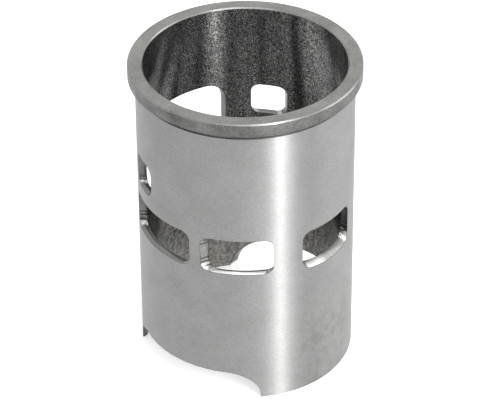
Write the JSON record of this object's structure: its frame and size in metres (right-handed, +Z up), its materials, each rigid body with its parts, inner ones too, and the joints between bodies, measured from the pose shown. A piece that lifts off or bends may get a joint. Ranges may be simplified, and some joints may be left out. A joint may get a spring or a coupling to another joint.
{
  "type": "cylinder liner",
  "caption": "Flanged iron cylinder liner for a two-stroke engine, with port windows through its wall and an arched skirt.",
  "frame": {"origin": "centre of the liner's foot, on the bore axis, in the plane that the liner stands on", "axes": "+Z up the bore axis towards the flange, +X towards the boost port, -X towards the main exhaust port, -Y towards the lower skirt arch"},
  "size_m": [0.0758, 0.0758, 0.1096],
  "materials": {
    "iron": "fine ground outside, honed bore, bright milled port edges"
  },
  "bodies": {
    "root": {"liner": "iron"}
  },
  "joints": []
}
